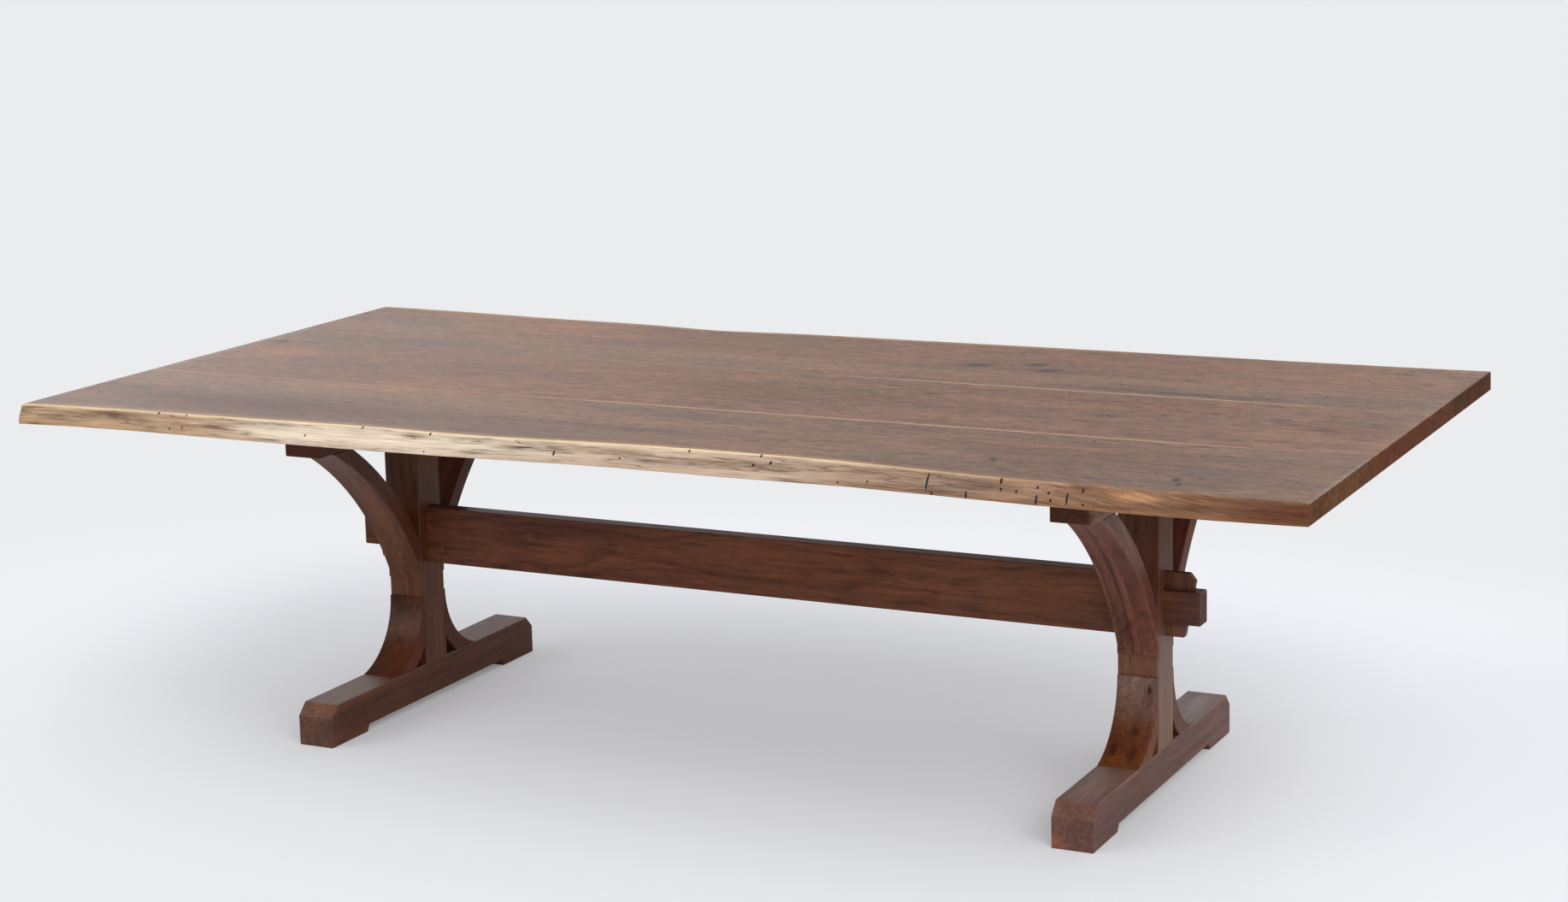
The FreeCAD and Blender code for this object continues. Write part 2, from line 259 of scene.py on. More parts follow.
def figure(graph, grain, centre, heart, wander, ring_width, seed, knots=()):
    """The parts that a walnut's colour is mixed from, each about 0 to 1.

    rings: dark late wood, from the fraction of the bent distance counted in ring widths
    bands, streaks: broad soft colours; lines: narrow ones; flecks, mottle: short ones
    fibres: the finest, drawn out the most for their width
    pores: short dashes; end: 1 on a face that cuts the grain end on
    """
    ways = grain_ways(grain)
    start = Vector(centre) + ways[1] * heart[0] - ways[2] * heart[1]
    place = graph.place()
    local = [graph.vector_maths("DOT_PRODUCT", place, tuple(way), "Value") - start.dot(way) for way in ways]
    for knot_centre, half_sizes in knots:
        out = graph.ellipse(knot_centre, half_sizes)
        pull = (out * out * -1.0).maths("EXPONENT") * KNOT_PULL
        for axis in (1, 2):
            knot_place = (Vector(knot_centre) - start).dot(ways[axis])
            local[axis] = local[axis] - (local[axis] - knot_place) * pull
    along, across, through = local
    spot = graph.vector(along, across, through)

    def drawn_out(along_scale, across_scale, detail, rough, shift):
        """Noise with so many features to a metre along the grain and across it."""
        scaled = graph.vector_maths("MULTIPLY", spot, (along_scale, across_scale, across_scale))
        moved = graph.vector_maths("ADD", scaled, (seed + shift, seed, shift))
        return graph.noise(moved, detail, rough)

    slow = drawn_out(1.7, 8, 1.0, 0.5, 0.0)
    curl = drawn_out(9, 26, 2.0, 0.5, 3.3)
    radius = (across * across + through * through) ** 0.5
    bent = radius + (slow - 0.5) * wander + (curl - 0.5) * (wander * CURL_SHARE)
    turn = (bent / ring_width).maths("FRACT")
    yearly = graph.noise(graph.vector(bent * (0.9 / ring_width), along * 0.4, seed), 0.0)
    late_wood = graph.step(turn, 0.2, 0.9) - graph.step(turn, 0.9, 1.0)
    return {"rings": late_wood * graph.step(yearly, 0.3, 0.75),
            "bands": drawn_out(1.3, 7, 2.0, 0.55, 7.7),
            "streaks": drawn_out(1.6, 22, 3.0, 0.6, 1.1),
            "lines": drawn_out(3.5, 85, 3.0, 0.62, 5.2),
            "flecks": drawn_out(13, 120, 3.0, 0.65, 6.6),
            "mottle": drawn_out(38, 60, 4.0, 0.75, 8.8),
            "fibres": drawn_out(16, 480, 2.0, 0.6, 2.9),
            "pores": graph.step(drawn_out(80, 1000, 1.0, 0.5, 9.4), 0.62, 0.72),
            "end": graph.step(face_along(graph, ways[0]), 0.75, 0.95)}


def face_along(graph, way):
    """How squarely a face meets a direction, from 0 where it runs beside it to 1."""
    normal = graph.node("ShaderNodeNewGeometry", {}, {}, "Normal")
    return graph.vector_maths("DOT_PRODUCT", normal, tuple(way), "Value").maths("ABSOLUTE")


# %% [markdown]
# The colour starts from three browns. Then it is shaded by one number, and darkened where a face
# cuts the grain end on, because end grain drinks more oil. There the speckle of open pores shows,
# and the surface keeps no sheen.

# %% From the parts to a colour
FRAME_SHARES = {"streaks": 0.5, "lines": 1.0, "flecks": 0.9, "mottle": 0.35, "fibres": 0.9, "rings": 0.26,
                "speckle": 0.22}
SLAB_SHARES = {"streaks": 0.32, "lines": 0.65, "flecks": 1.1, "mottle": 1.7, "fibres": 2.2, "rings": 0.26,
               "speckle": 0.5}


def walnut_colour(graph, parts, tones, shares, end_tint):
    """Two hues mixed by the bands, a third laid over them by the streaks, and then shaded.

    The shade is 1, plus shares of the lines, flecks, mottle and fibres about their middle, less the
    rings and pores. End grain is multiplied by its tint, with fainter rings and a fine speckle.
    """
    ground, second, dark = tones
    end = parts["end"]
    colour = graph.mix(graph.step(parts["bands"], 0.38, 0.62), ground, second)
    colour = graph.mix(graph.step(parts["streaks"], 0.48, 0.72) * shares["streaks"], colour, dark)
    rings = parts["rings"] * (1.0 - end * 0.5)
    shade = 1.0 - rings * shares["rings"] - parts["pores"] * 0.2
    for part in ("lines", "flecks", "mottle", "fibres"):
        shade = shade + (parts[part] - 0.5) * shares[part]
    speckle = graph.stretched_noise((300, 300, 300), 3.0)
    colour = graph.shaded(colour, shade + (speckle - 0.5) * end * shares["speckle"])
    return graph.mix(end, colour, end_tint, "MULTIPLY")


def oiled(graph, parts, colour, arrises=None):
    """A planed and oiled surface: the fibres break up its sheen and stand up a little."""
    relief = {"Height": parts["fibres"] - parts["pores"] * 0.8, "Distance": 0.15 * MM, "Strength": 0.5}
    if arrises:
        relief["Normal"] = arrises
    return graph.principled(Base_Color=colour, Specular_IOR_Level=0.25,
                            Roughness=(parts["fibres"] - 0.5) * 0.2 + parts["end"] * 0.5 + 0.36,
                            Normal=graph.node("ShaderNodeBump", {}, relief))


# %% [markdown]
# ### Worn arrises
#
# Hands and sandpaper reach an arris first, so there the finish is thinner and the wood paler. A
# Bevel node gives the normal of a rounded edge; where it differs from the real normal, an arris is
# near. The same normal lets the arris catch light as if it were rounded.

# %% Walnut for one piece of the frame
RED_BROWN = (rgb(104, 60, 41), rgb(94, 53, 38), rgb(70, 38, 27))
MAUVE_BROWN = (rgb(108, 72, 61), rgb(98, 62, 54), rgb(74, 45, 38))
OLIVE_BROWN = (rgb(92, 58, 42), rgb(80, 50, 38), rgb(60, 36, 27))
EVEN_BROWN = (rgb(112, 63, 41), rgb(104, 59, 40), rgb(91, 50, 35))
DULL_END = (0.79, 0.80, 0.80)


def tinted(graph, colour, patches):
    """A colour with soft ellipsoids on it, in each of which it is multiplied by a tint."""
    for centre, half_sizes, tint in patches:
        share = graph.step(graph.ellipse(centre, half_sizes), 1.0, 0.1)
        colour = graph.mix(share, colour, tint, "MULTIPLY")
    return colour


def stained(graph, colour, stains):
    """A colour with small dark ellipses on it, whose rims are roughened by noise."""
    ragged = (graph.stretched_noise((220, 220, 220), 2.0) - 0.5) * 0.9 if stains else 0.0
    for centre, half_sizes, turn, core in stains:
        out = graph.ellipse(centre, half_sizes, turn) + ragged
        colour = graph.mix(graph.step(out, 1.5, 0.8) * 0.7, colour, rgb(74, 52, 44))
        colour = graph.mix(graph.step(out, 0.9, 0.5), colour, core)
    return colour


def tinged(tones, tint):
    """A set of tones, each multiplied by the same red, green and blue."""
    return tuple(tuple(value * share for value, share in zip(tone, tint)) for tone in tones)


def walnut(name, grain, node, tones=RED_BROWN, heart=(0.02, 0.11), wander=0.05, ring_width=6 * MM,
           seed=1.0, knots=(), patches=(), stains=()):
    """Walnut for one piece of the frame, with its grain along a direction and its arrises worn."""
    low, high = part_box(node)
    graph = Graph(name)
    parts = figure(graph, grain, (low + high) / 2, heart, wander, ring_width, seed, knots)
    colour = tinted(graph, walnut_colour(graph, parts, tones, FRAME_SHARES, DULL_END), patches)
    colour = stained(graph, colour, stains)
    rounded_normal = graph.node("ShaderNodeBevel", {"samples": 4}, {"Radius": 2 * MM})
    flat_normal = graph.node("ShaderNodeNewGeometry", {}, {}, "Normal")
    agree = graph.vector_maths("DOT_PRODUCT", rounded_normal, flat_normal, "Value")
    worn = graph.step(agree, 0.995, 0.9) * graph.step(parts["streaks"], 0.3, 0.6)
    colour = graph.mix(worn * 0.55, colour, times(tones[0], 1.5))
    return oiled(graph, parts, colour, arrises=rounded_normal)


# %% [markdown]
# ## The trestles
#
# Each piece of a trestle was cut from its own plank, so each gets its own walnut: the grain runs
# along the piece, and the tones and the seed of its noises differ. The front lower braces come from
# a stretch of the trunk with small knots, golden towards the foot. Where a piece varies more than
# its noises do, soft ellipsoids tint it. Some tints are painted light: the paler, bluer tops of the
# feet and of the right lower brace, and the outer faces of the right post, upper brace and bearer,
# are a painted sheen; a paler patch on the left upper brace is a painted highlight; and the darker
# sides of the feet and parts of the right post are painted shade.

# %% The plank of each piece: the way of its grain and its tones
ALONG, ACROSS, UP = (1, 0, 0), (0, 1, 0), (0, 0, 1)
CHORDS = {"upper": (0.31, 0.35), "lower": (0.06, 0.15)}  # how far a brace goes out and up, in metres

PLANKS = {"left_foot": (ACROSS, tinged(OLIVE_BROWN, (1.20, 1.10, 1.00))),
          "right_foot": (ACROSS, tinged(MAUVE_BROWN, (1.20, 1.40, 1.38))),
          "left_bearer": (ACROSS, tinged(RED_BROWN, (0.85, 0.80, 0.75))),
          "right_bearer": (ACROSS, tinged(RED_BROWN, (0.92, 0.97, 0.94))),
          "left_post": (UP, tinged(OLIVE_BROWN, (1.07, 0.96, 0.69))),
          "right_post": (UP, tinged(RED_BROWN, (1.32, 1.55, 1.50))),
          "left_wedge": (UP, OLIVE_BROWN), "right_wedge": (UP, tinged(RED_BROWN, (1.13, 1.34, 1.45)))}
BRACE_TONES = {"left": {"upper": tinged(RED_BROWN, (0.92, 0.97, 0.94)),
                        "lower": tinged(RED_BROWN, (0.65, 0.54, 0.27))},
               "right": {"upper": (rgb(130, 78, 60), rgb(110, 65, 52), rgb(56, 30, 26)),
                         "lower": RED_BROWN}}
for side, levels in BRACE_TONES.items():
    for level, tones in levels.items():
        reach, rise = CHORDS[level]
        PLANKS["%s_front_%s_brace" % (side, level)] = ((0, -reach, rise), tones)
        PLANKS["%s_back_%s_brace" % (side, level)] = ((0, reach, rise), tones)
print("planks:", len(PLANKS) + 1)

# %% What sets single pieces apart, in metres
THROUGH_ALL = 0.1  # half size of an ellipsoid that passes right through a piece
BLACK_KNOT = rgb(24, 15, 12)

# A patch is a middle, half sizes and a tint; a knot is a middle and half sizes; a stain is a middle,
# half sizes, a turn in degrees and the colour of its core.
SPECIAL = {
    "left_foot": {
        "patches": [((-0.863, -0.403, 0.084), (0.080, 0.030, 0.024), (1.40, 1.35, 1.35)),
                    ((-0.863, -0.412, 0.045), (0.120, 0.030, 0.120), (1.05, 1.32, 1.70)),
                    # Painted shade: the foot's inner side, under the table, is darkened.
                    ((-0.820, 0.000, 0.040), (0.015, 0.600, 0.120), (0.78, 0.72, 0.60)),
                    # Painted sheen: the top of the foot is made paler and bluer.
                    ((-0.863, -0.260, 0.089), (0.070, 0.200, 0.008), (1.18, 1.66, 2.15))]},
    "right_foot": {
        # Painted sheen: the top of the foot, at the front and the back, is made paler and bluer.
        "patches": [((0.863, -0.260, 0.089), (0.070, 0.200, 0.008), (1.42, 1.65, 1.68)),
                    ((0.863, 0.260, 0.089), (0.070, 0.200, 0.008), (1.26, 1.88, 2.60)),
                    ((0.863, -0.403, 0.084), (0.080, 0.030, 0.024), (0.94, 0.94, 0.90)),
                    ((0.822, -0.412, 0.004), (0.045, 0.060, 0.034), (1.70, 1.30, 1.00)),
                    # Painted shade: the foot's outer side is darkened.
                    ((0.906, 0.000, 0.040), (0.015, 0.600, 0.120), (0.78, 0.72, 0.72))]},
    "left_front_upper_brace": {
        "patches": [((-0.906, -0.200, 0.560), (0.030, 0.200, 0.300), (0.80, 0.82, 0.88)),
                    # Painted highlight: a paler patch on the brace's outer face.
                    ((-0.850, -0.120, 0.480), (0.030, 0.100, 0.120), (1.25, 1.22, 1.15)),
                    ((-0.870, -0.260, 0.640), (0.025, 0.080, 0.080), (0.72, 0.76, 0.85))]},
    "right_front_upper_brace": {
        "patches": [((0.853, -0.200, 0.500), (0.007, 0.600, 0.600), (0.55, 0.50, 0.52)),
                    ((0.831, -0.200, 0.500), (0.005, 0.600, 0.600), (0.70, 0.66, 0.66)),
                    ((0.867, -0.200, 0.500), (0.006, 0.600, 0.600), (1.25, 1.20, 1.10)),
                    # Painted sheen: the upper end and the outer face of the brace are made paler and bluer.
                    ((0.850, -0.380, 0.640), (0.200, 0.140, 0.110), (1.15, 1.25, 1.42)),
                    ((0.906, -0.300, 0.600), (0.010, 0.260, 0.220), (1.30, 1.90, 2.15))]},
    "right_post": {
        # Painted sheen: the lower part of the post's outer face is made paler and bluer.
        "patches": [((0.906, 0.000, 0.200), (0.012, 0.300, 0.260), (1.29, 1.90, 2.50)),
                    # Painted shadow of the tenon and bearer on the outer face, higher up.
                    ((0.906, 0.000, 0.520), (0.012, 0.300, 0.170), (0.84, 0.80, 0.80)),
                    ((0.863, -0.043, 0.264), (0.120, 0.012, 0.040), (1.12, 1.22, 1.28)),
                    # Painted shade: the front face is darkened under the bearer.
                    ((0.863, -0.043, 0.600), (0.080, 0.020, 0.140), (0.82, 0.86, 0.86))]},
    "right_bearer": {
        # Painted light: the bearer's outer face, in shade under the slab, is made much paler and bluer.
        "patches": [((0.906, -0.300, 0.680), (0.014, 0.400, 0.200), (2.70, 4.20, 5.20))]},
    "left_front_lower_brace": {
        "knots": [((-0.833, -0.065, 0.221), (0.018, THROUGH_ALL, 0.030))],
        "stains": [((-0.833, -0.065, 0.221), (0.0034, THROUGH_ALL, 0.012), 0, BLACK_KNOT)],
        "patches": [((-0.880, -0.08, 0.245), (0.070, 0.2, 0.080), (0.55, 0.62, 0.72)),
                    ((-0.835, -0.11, 0.110), (0.060, 0.2, 0.090), (1.50, 1.15, 0.72)),
                    ((-0.865, -0.11, 0.150), (0.016, 0.2, 0.016), (0.60, 0.55, 0.55))]},
    "right_front_lower_brace": {
        "knots": [((0.889, -0.085, 0.216), (0.018, THROUGH_ALL, 0.030)),
                  ((0.872, -0.100, 0.141), (0.012, THROUGH_ALL, 0.016)),
                  ((0.838, -0.115, 0.110), (0.010, THROUGH_ALL, 0.014))],
        "stains": [((0.889, -0.085, 0.216), (0.0044, THROUGH_ALL, 0.011), 0, BLACK_KNOT)],
        "patches": [((0.872, -0.100, 0.141), (0.013, THROUGH_ALL, 0.013), (0.42, 0.38, 0.40)),
                    ((0.838, -0.115, 0.110), (0.011, THROUGH_ALL, 0.015), (0.38, 0.34, 0.36)),
                    ((0.879, -0.110, 0.106), (0.013, THROUGH_ALL, 0.020), (0.48, 0.42, 0.42)),
                    ((0.860, -0.11, 0.105), (0.120, 0.2, 0.075), (1.14, 0.82, 0.27)),
                    ((0.860, -0.15, 0.092), (0.120, 0.1, 0.032), (1.35, 1.50, 1.20)),
                    # Painted sheen: the top of the brace is made paler and bluer.
                    ((0.863, -0.08, 0.250), (0.140, 0.2, 0.105), (1.60, 2.95, 4.30))]},
    "right_wedge": {
        "patches": [((0.935, 0.000, 0.325), (0.060, 0.100, 0.030), (1.22, 1.30, 1.33))]}}
print("pieces with marks of their own:", len(SPECIAL) + 1)


# %% Finish the trestles, the wedges and the stretcher
def dress(node, material):
    """Give a piece of the frame one material on all of its slots."""
    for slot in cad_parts[node].material_slots:
        slot.material = material


for number, (node, (grain, tones)) in enumerate(PLANKS.items()):
    dress(node, walnut("walnut_" + node, grain, node, tones, seed=3.1 + 1.9 * number,
                       **SPECIAL.get(node, {})))
dress("stretcher", walnut("walnut_stretcher", ALONG, "stretcher", EVEN_BROWN,
                          heart=(0.12, 0.01), wander=0.07, ring_width=8 * MM, seed=5.3,
                          knots=[((0.362, -0.019, 0.402), (0.05, THROUGH_ALL, 0.02)),
                                 ((-0.335, -0.019, 0.390), (0.05, THROUGH_ALL, 0.02))],
                          patches=[((0.970, 0, 0.382), (0.080, 0.1, 0.100), (0.60, 0.75, 1.18)),
                                   ((0.990, 0, 0.382), (0.012, 0.1, 0.080), (1.50, 2.30, 2.60)),
                                   ((0.600, 0, 0.382), (0.350, 0.1, 0.300), (1.06, 1.18, 1.22)),
                                   ((-0.820, 0, 0.382), (0.700, 0.1, 0.300), (0.84, 0.84, 0.84))]))
print("walnuts:", sum(material.name.startswith("walnut_") for material in bpy.data.materials))

# %% [markdown]
# ## The slab
#
# The four boards are cut from one rounded slab, so that they meet without a groove. A block's skin
# is six grids of points; a point near an arris is pulled in onto a quarter circle; and the front
# and back boards are then stretched sideways until they reach their natural edge. The line of the
# edge is read from the frame, so the boards keep their size.

# %% The skin of a block
SHARP_ANGLE = 38  # degrees between two faces, past which the arris between them stays sharp


def skin(xs, ys, zs):
    """The skin of a block as points and quads: six grids over three lists of stations.

    Every point of the full lattice that lies on an outer layer gets a number once, so faces that
    meet share their points. The grids of opposite sides are listed in opposite order, and all
    normals point outwards.
    """
    shape = (len(xs), len(ys), len(zs))
    index = np.indices(shape)
    last = np.array(shape).reshape(3, 1, 1, 1) - 1
    outer = ((index == 0) | (index == last)).any(axis=0)
    number = np.full(shape, -1)
    number[outer] = np.arange(outer.sum())
    points = np.stack([xs[index[0][outer]], ys[index[1][outer]], zs[index[2][outer]]], axis=1)
    quads = []
    for axis in range(3):
        for end in (0, -1):
            layer = np.take(number, end, axis=axis)
            layer = layer.T if axis == 1 else layer
            rounds = [layer[:-1, :-1], layer[1:, :-1], layer[1:, 1:], layer[:-1, 1:]]
            order = rounds if end == -1 else rounds[::-1]
            quads.append(np.stack([corner.ravel() for corner in order], axis=1))
    return points, np.concatenate(quads)


def rounded(points, low, high, radius):
    """Points of a solid block, pulled in so that the block's arrises become quarter circles.

    A point within a radius of the faces is split into the nearest point of an inner block and the
    step d from there. Scaling d by its longest part over its length turns square corners into
    round ones and leaves every other point alone.
    """
    inner = np.clip(points, low + radius, high - radius)
    step = points - inner
    length = np.maximum(np.linalg.norm(step, axis=1, keepdims=True), 1e-12)
    return inner + step * np.abs(step).max(axis=1, keepdims=True) / length


def make_piece(name, points, quads):
    """A mesh object from arrays of points and quads, smooth except at sharp arrises."""
    mesh = bpy.data.meshes.new(name)
    mesh.from_pydata(points, [], quads)
    mesh.shade_smooth()
    mesh.set_sharp_from_angle(angle=np.radians(SHARP_ANGLE))
    return add_object(name, mesh)


# %% [markdown]
# ### The line of a natural edge
#
# The edge is the tree's outside under the bark. Its upper and lower arris are read from the frame's
# own vertices. Between them the surface falls back as a parabola, and into that go shallow lumps,
# about a millimetre deep and drawn out along the trunk.

# %% Read the edges and shape them
slab_low, slab_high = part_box("front_middle_board")
seam_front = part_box("front_board")[1].y
seam_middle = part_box("front_middle_board")[1].y
seam_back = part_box("back_middle_board")[1].y
SLAB_HALF_WIDTH = 0.66  # of the block that the boards are stretched from
EASE = 2.0 * MM  # radius of the rounded arrises
LUMPS = ((0.16, 3.0, 0.8 * MM), (0.045, 3.5, 0.45 * MM))  # length, squeeze and height


def rim_line(node, level, side):
    """Across-table place of a natural edge at a height, as a function of x."""
    vertices = np.array([vertex.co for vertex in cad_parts[node].data.vertices])
    on_rim = (np.abs(vertices[:, 2] - level) < 1e-5) & (side * vertices[:, 1] > 0.5)
    rim = vertices[on_rim]
    rim = rim[np.argsort(rim[:, 0])]
    return lambda x: np.interp(x, rim[:, 0], rim[:, 1])


def lumps(u, v, length, squeeze, seed, waves=9):
    """A sum of sine waves in random directions, mostly -1 to 1, with features about a length long.

    Across the trunk the waves are shorter than along it, by the factor squeeze.
    """
    random = np.random.default_rng(seed)
    total = np.zeros_like(u)
    for turn, phase, scale in random.uniform((0, 0, 0.6), (np.pi, 2 * np.pi, 1.7), (waves, 3)):
        along = u * np.cos(turn) + v * squeeze * np.sin(turn)
        total += np.sin(2 * np.pi * along * scale / length + phase)
    return total / waves ** 0.5


def natural_edge(node, side, seed):
    """A function of x and height that gives the across-table place of a natural edge.

    drop is the share of the wane that is lost: nothing at the lower arris, all at the upper one,
    and 0.2 t + 0.8 t squared at the height t between.
    """
    lower = rim_line(node, slab_low.z, side)
    upper = rim_line(node, slab_high.z, side)

    def edge(x, z):
        t = (z - slab_low.z) / (slab_high.z - slab_low.z)
        drop = 0.2 * t + 0.8 * t ** 2
        bulk = sum(lumps(x, z, length, squeeze, seed + number) * height
                   for number, (length, squeeze, height) in enumerate(LUMPS))
        return lower(x) + (upper(x) - lower(x)) * drop - side * np.abs(bulk)

    return edge


# %% [markdown]
# ### Marks on the front edge
#
# The edge carries short dark slits and pinholes, and brown clouds that run with the grain. They are
# painted on the points of the mesh, because a mark has its own place and no noise would put it
# there. Each mark is an ellipse that fades out past its rim.

# %% The marks of the front edge, in millimetres along the table and up the edge
# A slit is x, height, half length and half height; a hole is x, height and radius; a cloud is a slit
# with the share of its colour that it adds.
SLITS = ((-975, 15, 1.3, 5), (672, 22, 2.2, 15), (684, 3, 1.8, 4), (753, 6, 2.0, 8), (817, 35, 2.5, 5),
         (890, 10, 2.2, 9), (948, 16, 2.1, 11), (975, 31, 2.0, 4), (-109, 19, 2.2, 5))
HOLES = ((-1043, 38, 2.4), (-1006, 11, 2.2), (-973, 38, 1.8), (-672, 19, 2.0), (-551, 38, 2.2),
         (-389, 37, 2.4), (-390, 7, 1.8), (32, 18, 2.0), (170, 37, 2.2), (321, 38, 2.2), (347, 29, 2.8),
         (314, 24, 2.6), (492, 7, 2.0), (552, 13, 2.0), (820, 22, 2.6), (850, 21, 2.6), (889, 30, 2.4),
         (912, 23, 2.6), (917, 11, 2.4), (979, 9, 2.4))
CLOUDS = ((-1375, 24, 14, 9, 0.9), (-1355, 33, 45, 5, 0.8), (-1343, 2, 16, 4, 0.8), (-1300, 20, 45, 7, 0.5),
          (-1195, 25, 30, 4, 0.6), (-1165, 32, 50, 4, 0.8), (-1150, 27, 22, 5, 0.9), (-1085, 22, 30, 6, 0.6),
          (-1045, 8, 22, 4, 0.8), (-985, 20, 60, 7, 0.5), (-900, 22, 45, 3.5, 0.9), (-880, 17, 50, 3, 0.8),
          (-814, 15, 14, 3, 0.9), (-800, 34, 30, 2, 0.9), (-755, 7, 34, 3, 0.8), (-738, 35, 42, 2, 0.9),
          (-640, 30, 30, 3, 0.6), (-425, 31, 26, 5, 0.9), (-290, 31, 45, 5, 0.8), (-282, 11, 26, 3, 0.95),
          (-258, 37, 12, 1.5, 0.9), (-180, 26, 42, 5, 0.95), (-72, 37, 16, 1.5, 0.9), (-40, 30, 70, 4, 0.6),
          (90, 17, 20, 3, 0.8), (120, 26, 90, 5, 0.7), (200, 15, 60, 4, 0.5), (330, 24, 80, 7, 0.5),
          (380, 4, 30, 3, 0.8), (560, 28, 60, 5, 0.5), (640, 8, 90, 4, 0.8), (760, 24, 70, 6, 0.5),
          (900, 5, 60, 3, 0.6), (945, 35, 45, 3, 0.8), (1010, 16, 30, 2.5, 0.8), (1045, 9, 45, 3, 0.8),
          (1140, 15, 60, 4, 0.8), (1190, 33, 50, 3, 0.7))


def ellipse(x, height, mark):
    """How far out a point lies from a mark's middle, 1 on the rim of the mark, squared."""
    return ((x / MM - mark[0]) / mark[2]) ** 2 + ((height / MM - mark[1]) / mark[3]) ** 2


def front_marks(x, height):
    """Dark marks and brown clouds as two arrays, 0 to 1."""
    dark = np.zeros_like(x)
    for mark in SLITS + tuple((*hole, hole[2]) for hole in HOLES):
        dark = np.maximum(dark, np.exp(-ellipse(x, height, mark) ** 2))
    cloud = np.zeros_like(x)
    for mark in CLOUDS:
        cloud = 1 - (1 - cloud) * (1 - mark[4] * np.exp(-ellipse(x, height, mark)))
    return dark, cloud


# %% Stations of the grids
def spread(low, high, step):
    """Even stations from one place to another, about a step apart."""
    return np.linspace(low, high, int(round((high - low) / step)) + 1)


def eased(low, high, step):
    """Stations of a length, four of them close together in each rounded arris."""
    inset = EASE * np.array([0.0, 0.3, 0.65, 1.0])
    return np.unique(np.concatenate([low + inset, high - inset, spread(low + EASE, high - EASE, step)]))


AROUND_MARK = np.array([-1.8, -1, -0.4, 0, 0.4, 1, 1.8])
x_marks = np.concatenate([(mark[0] + mark[2] * AROUND_MARK) * MM for mark in SLITS + HOLES])
x_fine = np.unique(np.concatenate([eased(slab_low.x, slab_high.x, 6 * MM), x_marks]))
z_fine = eased(slab_low.z, slab_high.z, 1.8 * MM)
x_plain = eased(slab_low.x, slab_high.x, 40 * MM)
z_plain = eased(slab_low.z, slab_high.z, 12 * MM)
RIM_INSETS = EASE * np.array([0, 0.3, 0.65, 1.0, 2.0, 3.5, 5.5, 8.0, 12.0, 17.0, 25.0, 40.0, 70.0])
FLAT_INSET = 0.16  # from here inwards a natural board has the wide steps of a plain one
WIDE_STEP = 50 * MM
print("stations along and up the natural boards:", len(x_fine), len(z_fine))


# %% Build the boards
def arris_share(points, low, high):
    """How near a point of a block lies to an arris, 0 to 1: its second nearest face decides."""
    depth = np.minimum(points - low, high - points) / EASE
    return 1 - np.sort(np.clip(depth, 0, 1), axis=1)[:, 1]


def paint(piece, name, values):
    """Keep one number per point on the mesh, for its material to read."""
    attribute = piece.data.attributes.new(name, "FLOAT", "POINT")
    attribute.data.foreach_set("value", values.astype(np.float32))


def board(name, node, y_from, y_to, side=0, seed=0):
    """One board of the slab. side is -1 or 1 where the board has a natural edge, else 0."""
    xs, zs, ys = x_plain, z_plain, spread(y_from, y_to, WIDE_STEP)
    rim = side * SLAB_HALF_WIDTH
    seam = y_to if side < 0 else y_from
    if side:
        xs, zs = x_fine, z_fine
        flat_part = spread(*sorted((rim - side * FLAT_INSET, seam)), WIDE_STEP)
        ys = np.unique(np.concatenate([rim - side * RIM_INSETS, flat_part]))
    points, quads = skin(xs, ys, zs)
    low = np.array([slab_low.x, -SLAB_HALF_WIDTH, slab_low.z])
    high = np.array([slab_high.x, SLAB_HALF_WIDTH, slab_high.z])
    worn = arris_share(points, low, high)
    points = rounded(points, low, high, EASE)
    inset = SLAB_HALF_WIDTH - np.abs(points[:, 1])
    if side:
        reach = natural_edge(node, side, seed)(points[:, 0], points[:, 2])
        points[:, 1] = seam + (points[:, 1] - seam) * (reach - seam) / (rim - seam)
    piece = make_piece(name, points, quads)
    paint(piece, "worn", worn)
    paint(piece, "inset", inset)
    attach(piece, "table")
    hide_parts(node)
    return piece, points, inset


front_piece, front_points, front_inset = board(
    "front_board_natural", "front_board", -SLAB_HALF_WIDTH, seam_front, -1, 4)
back_piece = board("back_board_natural", "back_board", seam_back, SLAB_HALF_WIDTH, 1, 8)[0]
front_middle_piece = board("front_middle_board_flat", "front_middle_board", seam_front, seam_middle)[0]
back_middle_piece = board("back_middle_board_flat", "back_middle_board", seam_middle, seam_back)[0]

dark, cloud = front_marks(front_points[:, 0], front_points[:, 2] - slab_low.z)
near_rim = np.exp(-(np.maximum(front_inset - EASE, 0) / (3 * MM)) ** 2)
paint(front_piece, "mark", dark * near_rim)
paint(front_piece, "cloud", cloud * near_rim)
print("front board:", len(front_piece.data.polygons), "quads")

# %% [markdown]
# ### Sapwood
#
# Sapwood is the pale outer wood of the tree. It covers the natural edge and glows through a
# finger's breadth of the top behind it. Towards the right end the edge cuts deeper into the trunk,
# so cream turns to beige, to orange and at last to the brown of the heartwood.

